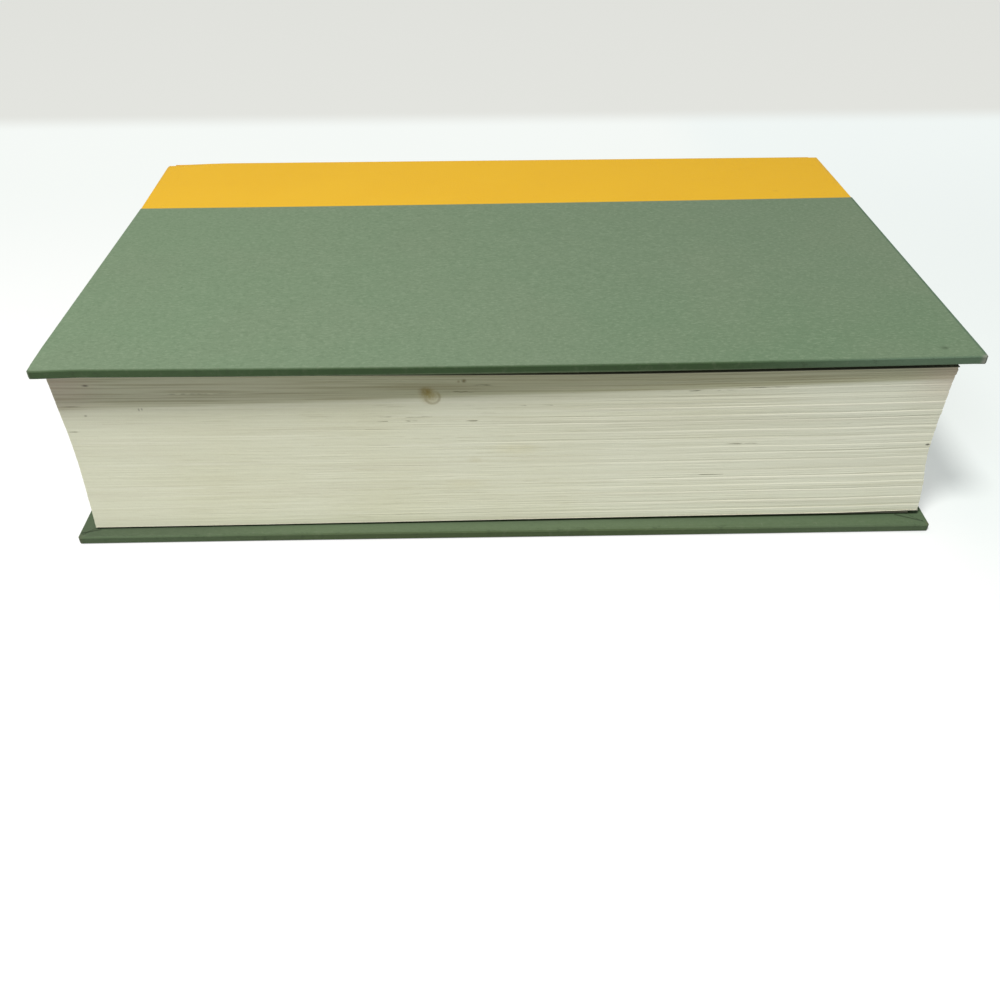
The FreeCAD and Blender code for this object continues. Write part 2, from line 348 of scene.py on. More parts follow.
def spine_cloth_finish():
    """Yellow book cloth: a fine plain weave with slubs, a few specks, slightly faded, and painted
    shade along the board's back edge.
    """
    f = Finish("spine_cloth_yellow")
    across = f.y + f.z
    threads = weave(f, 0.36, f.x, across)
    cloud = f.noise(f.place, 26, 2, 0.5, shift=2.0)
    warp = f.noise(f.place, 0.6, 2, 0.6, stretch=(16, 1, 1), shift=5.0)
    weft = f.noise(f.place, 0.6, 2, 0.6, stretch=(1, 14, 14), shift=8.0)
    speck = f.noise(f.place, 1.3, 1, 0.5, shift=13.0)
    base = f.mix(f.fade(f.x, -120 * MM, 120 * MM), paint(236, 186, 36), paint(234, 184, 30))
    colour = f.mix(f.fade(cloud, 0.3, 0.7, 0.0, 0.3), base, paint(231, 178, 30))
    colour = f.mix(f.fade(warp, 0.5, 0.8, 0.0, 0.2), colour, paint(240, 194, 66))
    colour = f.mix(f.fade(weft, 0.5, 0.8, 0.0, 0.16), colour, paint(218, 166, 36))
    colour = f.mix((1 - threads) * 0.14, colour, paint(190, 138, 22))
    colour = f.mix(f.fade(speck, 0.75, 0.8, 0.0, 0.4), colour, paint(176, 132, 34))
    # Painted shade along the rounded back edge of the board, broken up by the warp
    bend = f.fade(f.y, 70.4 * MM, 71.3 * MM) * f.fade(f.y, 72.4 * MM, 71.6 * MM)
    colour = f.mix(bend * f.fade(warp, 0.4, 0.7) * 0.25, colour, paint(205, 158, 60))
    knocked_end = f.fade(abs(f.x), 119.4 * MM, 120.4 * MM) * f.fade(cloud, 0.4, 0.6)
    colour = f.mix(knocked_end * 0.3, colour, paint(196, 158, 84))
    cloth = f.bump(threads + 0.6 * warp + 0.6 * weft, 0.045)
    return f.surface(colour, 0.74, cloth, Specular_IOR_Level=0.25, Sheen_Weight=0.08)


def endpaper_finish():
    """Cream endpaper, with painted shade along the fore edge of the upper flyleaf, where the board
    stands off it.
    """
    f = Finish("endpaper_cream")
    cloud = f.noise(f.place, 14, 3, 0.6)
    fibre = f.noise(f.place, 1.2, 3, 0.7, stretch=(2, 1, 1), shift=4.0)
    colour = f.mix(f.fade(cloud, 0.2, 0.8, 0.0, 0.4), paint(231, 228, 212), paint(223, 217, 198))
    colour = f.mix(f.fade(fibre, 0.45, 0.75, 0.0, 0.5), colour, paint(221, 215, 197))
    rim = f.y + 0.9 * MM * cloud + f.fade(f.x, *LEAN_SPAN) * LEAN
    # Painted shade: the dark strip stands in for the shade in the gap under the upper board
    gap_painted_shade = f.fade(rim, -73.6 * MM, -75.6 * MM) * (f.z > middle)
    colour = f.mix(gap_painted_shade * 0.85, colour, paint(92, 88, 72))
    return f.surface(colour, 0.85, f.bump(fibre, 0.02), Specular_IOR_Level=0.25)


def paper_finish(name, light, dark):
    """Uncoated paper or card with a soft formation and a little toning."""
    f = Finish(name)
    cloud = f.noise(f.place, 14, 3, 0.6)
    fibre = f.noise(f.place, 1.2, 3, 0.7, stretch=(2, 1, 1), shift=4.0)
    colour = f.mix(f.fade(cloud, 0.3, 0.75), light, dark)
    colour = f.mix(f.fade(fibre, 0.45, 0.8, 0.0, 0.5), colour, dark)
    return f.surface(colour, 0.85, f.bump(fibre, 0.02), Specular_IOR_Level=0.25)


def greyboard_finish():
    """Pulp board with flecks of other fibre."""
    f = Finish("greyboard_pulp")
    pulp = f.noise(f.place, 1.5, 4, 0.7)
    fleck = f.noise(f.place, 0.7, 1, 0.5, stretch=(3, 1, 1), shift=6.0)
    colour = f.mix(f.fade(pulp, 0.3, 0.7), paint(150, 143, 130), paint(122, 116, 104))
    colour = f.mix(f.fade(fleck, 0.66, 0.72, 0.0, 0.7), colour, paint(84, 78, 70))
    return f.surface(colour, 0.9, f.bump(pulp, 0.06), Specular_IOR_Level=0.2)


def mull_finish():
    """Open starched gauze."""
    f = Finish("mull_gauze")
    threads = weave(f, 1.4, f.x, f.y + f.z)
    slub = f.noise(f.place, 2, 2, 0.6, stretch=(4, 1, 1))
    colour = f.mix(f.fade(threads, 0.2, 0.8), paint(176, 166, 142), paint(226, 219, 200))
    colour = f.mix(f.fade(slub, 0.5, 0.8, 0.0, 0.4), colour, paint(205, 194, 168))
    return f.surface(colour, 0.9, f.bump(threads, 0.12), Specular_IOR_Level=0.2)


def thread_finish():
    """Headband thread, cream and ochre by turns, with its twist."""
    f = Finish("band_thread_striped")
    number = f.add("ShaderNodeAttribute", {"attribute_name": "wrap"}, out="Fac")
    second = (number % 4.0) > 1.5
    twist = f.math("SINE", (f.x + f.y + 2.0 * f.z) * (2 * math.pi / (0.22 * MM))) * 0.5 + 0.5
    wool = f.noise(f.place, 0.4, 2, 0.6)
    colour = f.mix(second, paint(232, 224, 200), paint(203, 160, 66))
    colour = f.mix(f.fade(wool, 0.4, 0.8, 0.0, 0.35), colour, paint(176, 156, 112))
    colour = f.mix((1 - twist) * 0.2, colour, paint(140, 120, 80))
    return f.surface(colour, 0.6, f.bump(twist, 0.03), Specular_IOR_Level=0.4, Sheen_Weight=0.2)


def signature_place(sums, z):
    """The height as the signatures count it: some of them are thicker than others."""
    turn = 2 * math.pi / MM
    slow = sums.math("SINE", z * (turn / 11.7)) * (0.35 * MM)
    return z + slow + sums.math("SINE", z * (turn / 4.9)) * (0.22 * MM)


def leaf_finish():
    """Cream leaves seen by their edges: thin light and dark lines, painted shade between leaves and
    signatures, painted highlights on the signatures' crests, a painted shadow under the upper
    board, foxing and a few nicks.
    """
    f = Finish("leaf_edges")
    at = f.add("ShaderNodeAttribute", {"attribute_name": "leaf_place"}, out="Vector")
    x, y, z = f.split(at)
    cloud = f.noise(at, 46, 3, 0.5, shift=3.0)
    band = f.noise(at, 3.2, 2, 0.5, stretch=(22, 22, 1), shift=17.0)
    long_line = f.noise(at, 0.42, 2, 0.6, stretch=(190, 190, 1), shift=5.0)
    short_line = f.noise(at, 0.34, 2, 0.6, stretch=(34, 34, 1), shift=12.0)
    dash = f.noise(at, 0.4, 1, 0.5, stretch=(9, 9, 1), shift=23.0)
    grain = f.noise(at, 0.6, 3, 0.7, shift=29.0)
    ordered = f.fade(x, -50 * MM, 95 * MM)
    clean = f.mix(f.fade(x, -60 * MM, 100 * MM), paint(238, 239, 215), paint(249, 251, 230))
    aged = f.mix(f.fade(x, -60 * MM, 100 * MM), paint(233, 233, 205), paint(245, 246, 222))
    colour = f.mix(f.fade(cloud, 0.3, 0.7), clean, aged)
    colour = f.mix(f.fade(band, 0.45, 0.75, 0.0, 0.28), colour, paint(222, 219, 196))
    lined = f.fade(x, -110 * MM, 0.0, 0.5, 1.0)
    # Dark long and short lines: painted shade in the gaps between leaves; lighter lines go with
    # them
    long_gap_shade = f.fade(long_line, 0.56, 0.68, 0.0, 0.32) * lined
    colour = f.mix(long_gap_shade, colour, paint(206, 203, 172))
    colour = f.mix(f.fade(long_line, 0.42, 0.3, 0.0, 0.5), colour, paint(250, 250, 230))
    short_gap_shade = f.fade(short_line, 0.6, 0.7, 0.0, 0.36) * lined * (1 - 0.5 * ordered)
    colour = f.mix(short_gap_shade, colour, paint(186, 182, 150))
    colour = f.mix(f.fade(short_line, 0.4, 0.3, 0.0, 0.4), colour, paint(247, 246, 224))
    colour = f.mix(f.fade(grain, 0.55, 0.8, 0.0, 0.12), colour, paint(190, 184, 156))

    counted = signature_place(f, z) / SIGNATURE_HEIGHT
    phase = counted % 1.0
    chance = f.add(
        "ShaderNodeTexWhiteNoise", {"noise_dimensions": "1D"},
        {"W": f.math("FLOOR", counted) + 40.5},
    )
    # Painted shade in the groove between signatures and a painted highlight on each signature's
    # rounded crest, strongest to the right
    seam = f.math("MINIMUM", phase, 1 - phase)
    seam_painted_shade = f.fade(seam, 0.12, 0.0) * (0.05 + 0.25 * ordered * chance)
    colour = f.mix(seam_painted_shade, colour, paint(190, 187, 158))
    crest_painted_highlight = f.fade(phase, 0.55, 0.84) * f.fade(phase, 0.97, 0.86)
    colour = f.mix(crest_painted_highlight * ordered * (0.15 + 0.5 * chance), colour, paint(250, 249, 230))

    fore = y < leaves_low.y + 0.2 * MM
    # Painted shadow of the upper board's overhang on the top of the fore edge, darker to the right,
    # with darker and lighter leaf-edge streaks inside it
    overhang_painted_shadow = f.fade(z - 0.0295 * x + 0.0075 * abs(x), 42.9 * MM, 44.3 * MM) * fore
    shadow_depth = f.fade(x, -80 * MM, -10 * MM, 0.35, 0.75)
    colour = f.mix(overhang_painted_shadow * shadow_depth, colour, paint(198, 199, 162))
    band_streak = f.noise(at, 0.55, 2, 0.6, stretch=(90, 90, 1), shift=41.0)
    colour = f.mix(overhang_painted_shadow * f.fade(band_streak, 0.46, 0.66, 0.0, 0.55), colour, paint(168, 160, 122))
    colour = f.mix(overhang_painted_shadow * f.fade(band_streak, 0.44, 0.3, 0.0, 0.35), colour, paint(232, 226, 200))

    dashes = f.fade(dash, 0.5, 0.6)
    rows = 0.0
    for centre, half in (
        ((50, 44.1), (11, 0.3)), ((66, 44.7), (9, 0.3)), ((89.5, 32.0), (6, 0.28)),
        ((63.5, 25.5), (6, 0.28)), ((52, 14.7), (12, 0.25)), ((-28, 34.9), (9, 0.3)),
        ((-8.7, 34.9), (5.5, 0.35)), ((8.4, 39.9), (7, 0.25)), ((-11.7, 44.6), (8, 0.3)),
        ((-4, 46.8), (7, 0.3)), ((-28, 36.3), (11, 0.25)), ((-84, 44.4), (16, 0.3)),
    ):
        rows = spot(f, x, z, centre, half, 0.7) + rows
    colour = f.mix(dashes * rows * fore * 0.75, colour, paint(112, 108, 78))

    for centre, half, tone, share, soft in (
        ((-21.2, 44.8), (2.8, 2.3), paint(140, 114, 36), 0.8, 1.0),
        ((-20.4, 43.2), (3.6, 3.6), paint(176, 158, 84), 0.6, 1.0),
        ((-11.35, 48.2), (0.9, 0.9), paint(108, 92, 38), 0.7, 0.9),
        ((-12.8, 48.0), (0.6, 0.6), paint(136, 116, 56), 0.6, 0.9),
        ((-108.2, 47.1), (1.3, 0.5), paint(50, 48, 30), 0.85, 0.9),
        ((-96.3, 39.3), (0.35, 0.7), paint(128, 124, 102), 0.5, 0.8),
        ((-95.5, 39.4), (0.3, 0.6), paint(128, 124, 102), 0.5, 0.8),
        ((-110.5, 37.4), (0.6, 0.4), paint(120, 116, 90), 0.6, 0.9),
        ((-115.3, 32.2), (2.6, 0.25), paint(104, 98, 72), 0.7, 0.8),
        ((-113.9, 40.4), (3.6, 0.3), paint(98, 90, 64), 0.6, 0.9),
        ((115.4, 23.6), (1.8, 0.5), paint(64, 58, 40), 0.8, 0.6),
        ((2.0, 25.0), (9.0, 3.4), paint(228, 222, 180), 0.35, 1.0),
        ((-9.0, 21.4), (3.0, 1.6), paint(214, 208, 170), 0.35, 1.0),
        ((-12.0, 13.0), (9.0, 2.6), paint(228, 222, 182), 0.3, 1.0),
    ):
        mark = spot(f, x, z, centre, half, soft) * f.fade(grain, 0.3, 0.6, 0.55, 1.0)
        colour = f.mix(mark * fore * share, colour, tone)
    ring_x = (x + 19.7 * MM) / (1.9 * MM)
    ring_z = (z - 42.9 * MM) / (2.1 * MM)
    ring_reach = f.math("SQRT", ring_x ** 2.0 + ring_z ** 2.0)
    ring = f.fade(abs(ring_reach - 1.0), 0.3, 0.03) * f.fade(z - 0.6 * x, 57.0 * MM, 54.0 * MM)
    colour = f.mix(ring * fore * 0.4, colour, paint(150, 132, 70))
    toned = f.fade(abs(x), 100 * MM, 117 * MM) * f.fade(z, 34 * MM, 50 * MM)
    colour = f.mix(toned * fore * 0.5, colour, paint(226, 205, 190))
    height = 0.5 * long_line + 0.5 * short_line + 0.25 * grain
    return f.surface(colour, 0.88, f.bump(height, 0.06), Specular_IOR_Level=0.2)


finishes = {
    "leaves": leaf_finish(),
    "endpaper": endpaper_finish(),
    "mull": mull_finish(),
    "lining_paper": paper_finish("lining_kraft", paint(178, 142, 100), paint(150, 116, 78)),
    "band_thread": thread_finish(),
    "inlay_card": paper_finish("inlay_card_buff", paint(196, 184, 158), paint(170, 158, 132)),
    "spine_cloth": spine_cloth_finish(),
    "greyboard": greyboard_finish(),
    "side_paper": side_paper_finish(),
}


def slot_of(name):
    """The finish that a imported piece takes, by a word in its name."""
    for word, slot in (
        ("flyleaf", "endpaper"), ("pastedown", "endpaper"), ("mull", "mull"),
        ("lining", "lining_paper"), ("headband", "band_thread"), ("tailband", "band_thread"),
        ("inlay", "inlay_card"), ("cloth", "spine_cloth"), ("side_paper", "side_paper"),
        ("board", "greyboard"), ("text_block", "leaves"),
    ):
        if word in name:
            return slot


for name, node in nodes.items():
    node.data.materials.clear()
    node.data.materials.append(finishes[slot_of(name)])


# How the book has warped. The first of these three also works on the sockets of a tree

def bow(x, y):
    """How far the upper board lies above its flat place. It dies out at the hinge."""
    return (BOW_RISE * (x / BOW_REACH) * (x / BOW_REACH) - BOW_DROP) * open_share(y)


def smooth(value, low, high):
    """0 at low and 1 at high, with a soft start and end."""
    t = min(max((value - low) / (high - low), 0.0), 1.0)
    return t * t * (3 - 2 * t)


def open_share(y):
    """1 at the fore edge and 0 at the hinge, for what opens like a wedge."""
    return (strip_high.y - y) / (strip_high.y - cover_low.y)


# Pieces that follow a rule

class ShapeRule(Sums):
    """A geometry tree with named inputs for its sizes, which ends in one finished mesh."""

    def __init__(self, name, sizes):
        super().__init__(bpy.data.node_groups.new(name, "GeometryNodeTree"))
        self.sizes = sizes
        for size, value in sizes.items():
            kind = "NodeSocketInt" if isinstance(value, int) else "NodeSocketFloat"
            self.tree.interface.new_socket(size, in_out="INPUT", socket_type=kind)
        self.tree.interface.new_socket("Shape", in_out="OUTPUT", socket_type="NodeSocketGeometry")
        given = self.tree.nodes.new("NodeGroupInput")
        self.given = {size: Wire(self, given.outputs[size]) for size in sizes}
        self.place = self.add("GeometryNodeInputPosition")
        self.x, self.y, self.z = self.split(self.place)
        self.index = self.add("GeometryNodeInputIndex")

    def grow(self, shape, finish, name):
        """Ends the tree, and returns a plain object that holds what it makes."""
        shape = self.add("GeometryNodeRealizeInstances", None, {"Geometry": shape})
        shape = self.add("GeometryNodeSetMaterial", None, {"Geometry": shape, "Material": finish})
        self.add("NodeGroupOutput", None, {"Shape": shape})
        piece = bpy.data.objects.new(name, bpy.data.meshes.new(name + "_start"))
        bpy.context.scene.collection.objects.link(piece)
        modifier = piece.modifiers.new("rule", "NODES")
        modifier.node_group = self.tree
        for item in self.tree.interface.items_tree:
            if item.in_out == "INPUT":
                modifier[item.identifier] = self.sizes[item.name]
        graph = bpy.context.evaluated_depsgraph_get()
        mesh = bpy.data.meshes.new_from_object(
            piece.evaluated_get(graph), preserve_all_data_layers=True, depsgraph=graph,
        )
        piece.modifiers.clear()
        mesh.name = name
        piece.data = mesh
        return piece


def make_leaves():
    """The sewn block: a closed skin whose levels step in and out as leaves do."""
    levels = 22
    rule = ShapeRule("leaf_stack", {
        "Width": leaves_high.y - leaves_low.y - BLOCK_ROUND,
        "Length": leaves_high.x - leaves_low.x,
        "Height": leaves_high.z - leaves_low.z,
        "Signatures": SIGNATURES,
        "Levels": SIGNATURES * levels + 1,
        "Cuts along": 63,
        "Cuts across": 31,
        "Groove": 0.45 * MM,
        "Fold": 0.8 * MM,
        "Round": BLOCK_ROUND,
    })
    width, length, height = (rule.given[key] for key in ("Width", "Length", "Height"))
    odd = rule.index % 2.0
    cuts = rule.given["Cuts along"] * (1 - odd) + rule.given["Cuts across"] * odd
    plan = rule.add(
        "GeometryNodeCurvePrimitiveQuadrilateral", None, {"Width": length, "Height": width},
    )
    plan = rule.add("GeometryNodeSubdivideCurve", None, {"Curve": plan, "Cuts": cuts})
    rise = rule.add("GeometryNodeCurvePrimitiveLine", None, {"End": rule.join(0.0, 0.0, height)})
    rise = rule.add(
        "GeometryNodeResampleCurve", None, {"Curve": rise, "Count": rule.given["Levels"]},
    )
    skin = rule.add("GeometryNodeCurveToMesh", None, {"Curve": rise, "Profile Curve": plan})
    sheet = rule.add("GeometryNodeMeshGrid", None, {
        "Size X": length, "Size Y": width,
        "Vertices X": rule.given["Cuts along"] + 2.0, "Vertices Y": rule.given["Cuts across"] + 2.0,
    })
    top = rule.add(
        "GeometryNodeTransform", None,
        {"Geometry": sheet, "Translation": rule.join(0.0, 0.0, height)},
    )
    bottom = rule.add("GeometryNodeFlipFaces", None, {"Mesh": sheet})
    stack = rule.add("GeometryNodeJoinGeometry", None, {"Geometry": [skin, top, bottom]})
    stack = rule.add(
        "GeometryNodeMergeByDistance", None, {"Geometry": stack, "Distance": 0.01 * MM},
    )

    edge_angle = rule.add("GeometryNodeInputMeshEdgeAngle")
    stack = rule.add(
        "GeometryNodeSetShadeSmooth", {"domain": "EDGE"},
        {"Geometry": stack, "Selection": edge_angle > 1.0, "Shade Smooth": False},
    )
    middle_y = (leaves_low.y + leaves_high.y - BLOCK_ROUND) / 2
    stack = rule.add(
        "GeometryNodeStoreNamedAttribute", {"data_type": "FLOAT_VECTOR", "domain": "POINT"},
        {
            "Geometry": stack, "Name": "leaf_place",
            "Value": rule.vector("ADD", rule.place, (0.0, middle_y, 0.0)),
        },
    )
    x, y, z = rule.x, rule.y, rule.z
    hair = 0.02 * MM
    fore = y < hair - width * 0.5
    back = y > width * 0.5 - hair
    end = abs(x) > length * 0.5 - hair
    thickness = height / rule.given["Signatures"]
    counted = signature_place(rule, z) / thickness
    phase = counted % 1.0
    to_groove = rule.math("MINIMUM", phase, 1 - phase) * thickness
    number = rule.math("FLOOR", counted)
    step = rule.add("ShaderNodeTexWhiteNoise", {"noise_dimensions": "1D"}, {"W": number + 0.5})

    chance = rule.add(
        "ShaderNodeTexWhiteNoise", {"noise_dimensions": "1D"}, {"W": number + 40.5},
    )
    strong = rule.fade(x, -0.03, 0.115, 0.1, 1.0) * (0.4 + 0.9 * chance)
    groove = rule.fade(to_groove, 0.0, rule.given["Groove"], 1.0, 0.0)
    swell = rule.fade(phase, 0.1, 0.86) * rule.fade(phase, 1.0, 0.86)
    streak = rule.noise(rule.place, 0.6, 2, 0.6, stretch=(90, 90, 1), shift=2.0) - 0.5
    leaf = rule.noise(rule.place, 0.27, 1, 0.5, stretch=(60, 60, 1), shift=9.0) - 0.5
    wander = rule.noise(rule.place, 20.0, 2, 0.5, stretch=(3, 3, 1), shift=15.0) - 0.5
    ragged = (streak * (0.1 * MM) + leaf * (0.05 * MM)) * rule.fade(x, -0.11, 0.0, 0.55, 1.0)
    level = z / height
    centred = 2.0 * level - 1.0
    rounded = rule.given["Round"] * rule.math("MAXIMUM", 1 - centred * centred, 0.0)
    skew = level * rule.fade(x, *LEAN_SPAN) * LEAN + (1 - level) * FOOT
    fold = rule.fade(to_groove, 0.0, rule.given["Fold"], 1.0, 0.0) * rule.given["Fold"]
    in_front = (groove * 0.045 - swell * 0.04) * strong * MM + ragged
    in_front = in_front + (step - 0.5) * strong * (0.07 * MM) - skew
    new_y = y + rounded + fore * in_front - back * fold
    side = rule.math("SIGN", x)
    right = x > 0.0
    drawn_in = right * rule.fade(level, 0.02, 0.5) * 2.2
    drawn_in = drawn_in + (1 - right) * (1.15 - 1.05 * rule.fade(level, 0.42, 1.0))
    uneven = 0.25 + 0.5 * right
    at_end = (groove * 0.12 + (step - 0.5) * 0.22 + wander * 0.5) * uneven
    new_x = x - end * side * ((at_end + drawn_in) * MM + ragged)

    real_y = new_y + middle_y
    reach = open_share(real_y)
    lifted = bow(x, real_y) - reach * rule.fade(x, 0.01, 0.1, *TOP_GAP)
    corner_gap = rule.fade(x, 0.09, 0.117) * BOTTOM_CORNER_GAP
    below = reach * (rule.fade(x, -0.1, 0.1, *BOTTOM_GAP) + corner_gap)
    press = rule.math("MAXIMUM", real_y - (strip_high.y - 6.45 * MM), 0.0) * (0.9 / 6.55)
    sway = wander * reach * (1 - centred * centred) * rule.fade(x, 0.0, 0.1) * (1.2 * MM)
    new_z = z + level * lifted + (1 - level) * below - centred * press + sway + leaves_low.z
    placed = rule.join(new_x, real_y, new_z)
    stack = rule.add("GeometryNodeSetPosition", None, {"Geometry": stack, "Position": placed})
    piece = rule.grow(stack, finishes["leaves"], "leaves")
    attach(piece, "book_block")
    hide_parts("text_block")


# Pieces that bend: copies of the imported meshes, cut finer at these places in millimetres

STATIONS = [6.0 * step for step in range(-19, 20)]
ENDS = [side * place for side in (1, -1) for place in (116.0, 117.5, 118.5, 119.4, 120.0, 120.35)]


def copied(name):
    """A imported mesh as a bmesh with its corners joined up."""
    mesh = bmesh.new()
    mesh.from_mesh(nodes[name].data)
    bmesh.ops.remove_doubles(mesh, verts=mesh.verts, dist=1e-7)
    return mesh


def cut_at(mesh, axis, places):
    """Adds edges where planes across an axis pass, given in millimetres."""
    for place in places:
        everything = list(mesh.verts) + list(mesh.edges) + list(mesh.faces)
        spot = [0.0, 0.0, 0.0]
        way = [0.0, 0.0, 0.0]
        spot[axis] = place * MM
        way[axis] = 1.0
        bmesh.ops.bisect_plane(mesh, geom=everything, dist=1e-7, plane_co=spot, plane_no=way)


def finished(mesh, name, slot, body, *stands_for):
    """Turns a bmesh into a piece that rides on a body, or on none yet."""
    bmesh.ops.triangulate(mesh, faces=[face for face in mesh.faces if len(face.verts) > 4])
    for edge in mesh.edges:
        edge.smooth = edge.calc_face_angle(0.0) < math.radians(32)
    data = bpy.data.meshes.new(name)
    mesh.to_mesh(data)
    mesh.free()
    data.materials.append(finishes[slot])
    piece = bpy.data.objects.new(name, data)
    bpy.context.scene.collection.objects.link(piece)
    if body:
        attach(piece, body)
    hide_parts(*stands_for)
    return piece


def knocked(x, y, corner_x, corner_y, along, across):
    """1 at a knocked corner, falling to 0 at its two lengths from it."""
    share = math.hypot((x - corner_x) / along, (y - corner_y) / across)
    return 1 - smooth(share, 0.0, 1.0)


def warped_cover(place):
    """Where a point of the upper cover has moved to."""
    x, y, z = place
    lift = bow(x, y)
    for depth, *corner in KNOCKS:
        lift -= depth * knocked(x, y, *corner)
    near = smooth(-y, -0.0717, -0.035)
    back = smooth(-y, -0.0782, -0.0717) * (1 - near)
    aside = (0.8 * near + 0.6 * back * x / cover_high.x) * MM
    return Vector((x + aside, y, z + lift))


def askew_cover(place):
    """Where a point of the lower cover has moved to. It sits a little askew."""
    x, y, z = place
    share = open_share(y)
    y -= share * (0.3 + 1.1 * smooth(x, -0.13, 0.13)) * MM
    x -= share * 0.8 * MM * smooth(x, 0.02, 0.12)
    return Vector((x, y, z))


def make_cover(side, moved):
    """A board and what is glued to it, with the small changes of shape of a used book."""
    edge = cover_low.y / MM
    skewed_from = 12 * MM
    for part, name, slot in (
        ("board", "greyboard", "greyboard"), ("side_paper", "paper", "side_paper"),
        ("mull_flap", "mull", "mull"), ("pastedown", "endpaper", "endpaper"),
    ):
        mesh = copied(side + "_" + part)
        if part == "pastedown" and side == "back":
            for corner in mesh.verts:
                corner.co.y += 1.5 * MM * (corner.co.y < leaves_low.y + 1 * MM)
                corner.co.x -= math.copysign(1.2 * MM, corner.co.x)
        cut_at(mesh, 0, STATIONS + ENDS)
        cut_at(mesh, 1, [edge + step for step in (0.4, 0.9, 1.6, 2.5, 4.0, 12.0, 30.0, 60.0)])
        for corner in mesh.verts:
            if part == "side_paper" and corner.co.y > skewed_from:
                share = (corner.co.y - skewed_from) / (cover_high.y - skewed_from)
                corner.co.y += share * (1.5 * corner.co.x / cover_high.x - 0.4) * MM
            corner.co = moved(corner.co)
        finished(mesh, side + "_" + name, slot, side + "_cover", side + "_" + part)


def make_flyleaves():
    """The outermost leaves, which lie on the block and not against the boards."""
    for side, name in (("front", "front_fly"), ("back", "back_fly")):
        mesh = copied(side + "_flyleaf")
        cut_at(mesh, 0, STATIONS + [114.0, 115.5, -114.0, -115.5])
        cut_at(mesh, 1, [-60.0, -40.0, -20.0, 0.0, 20.0, 40.0, 60.0])
        for corner in mesh.verts:
            x, y, z = corner.co
            if side == "front":
                low, high = TOP_GAP
                gap = low + (high - low) * smooth(x, 0.01, 0.1)
                corner.co.z = z + bow(x, y) - open_share(y) * gap
                corner.co.y -= LEAN * smooth(x, *LEAN_SPAN) * (y < leaves_low.y + 1 * MM)
                corner.co.x -= 2.3 * MM * (x > 0.117)
            else:
                low, high = BOTTOM_GAP
                rise = low + (high - low) * smooth(x, -0.1, 0.1)
                rise += BOTTOM_CORNER_GAP * smooth(x, 0.09, 0.117)
                corner.co.z = z + open_share(y) * rise
                corner.co.y -= FOOT * (y < leaves_low.y + 1 * MM)
                corner.co.x += 1.1 * MM * (x < -0.117)
        finished(mesh, name, "endpaper", "book_block", side + "_flyleaf")


def make_headband_threads():
    """Thread wound close round the bead of each headband, one loop after another."""
    bead_low, bead_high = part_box("headband")
    spine_inside = leaves_high.y
    rule = ShapeRule("headband_winding", {
        "Turns": 104,
        "Thread": 0.2 * MM,
        "Half width": 0.84 * MM,
        "Half depth": 0.78 * MM,
    })
    ends = [rule.join(0.0, spine_inside - 1.3 * MM, bead_low.z + 0.3 * MM),
            rule.join(0.0, spine_inside - 1.3 * MM, bead_high.z - 0.3 * MM)]
    crown = rule.join(0.0, spine_inside + 0.35 * MM, middle)
    line = rule.add(
        "GeometryNodeCurveQuadraticBezier", None,
        {"Resolution": 40, "Start": ends[0], "Middle": crown, "End": ends[1]},
    )
    line = rule.add(
        "GeometryNodeResampleCurve", None, {"Curve": line, "Count": rule.given["Turns"]},
    )
    ring = rule.add("GeometryNodeCurvePrimitiveCircle", None, {"Resolution": 14, "Radius": 1.0})
    ring = rule.add("GeometryNodeTransform", None, {
        "Geometry": ring,
        "Scale": rule.join(rule.given["Half width"], rule.given["Half depth"], 1.0),
    })
    strand = rule.add(
        "GeometryNodeCurvePrimitiveCircle", None, {"Resolution": 6, "Radius": rule.given["Thread"]},
    )
    loop = rule.add("GeometryNodeCurveToMesh", None, {"Curve": ring, "Profile Curve": strand})
    wraps = rule.add("GeometryNodeInstanceOnPoints", None, {"Points": line, "Instance": loop})
    wraps = rule.add(
        "GeometryNodeStoreNamedAttribute", {"data_type": "FLOAT", "domain": "INSTANCE"},
        {"Geometry": wraps, "Name": "wrap", "Value": rule.index},
    )
    bead_x = bead_low.x + 0.85 * MM
    bands = [
        rule.add("GeometryNodeTransform", None, {
            "Geometry": wraps, "Translation": rule.join(x, 0.0, 0.0),
        })
        for x in (bead_x, -bead_x)
    ]
    both = rule.add("GeometryNodeJoinGeometry", None, {"Geometry": bands})
    piece = rule.grow(both, finishes["band_thread"], "headband_threads")
    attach(piece, "book_block")


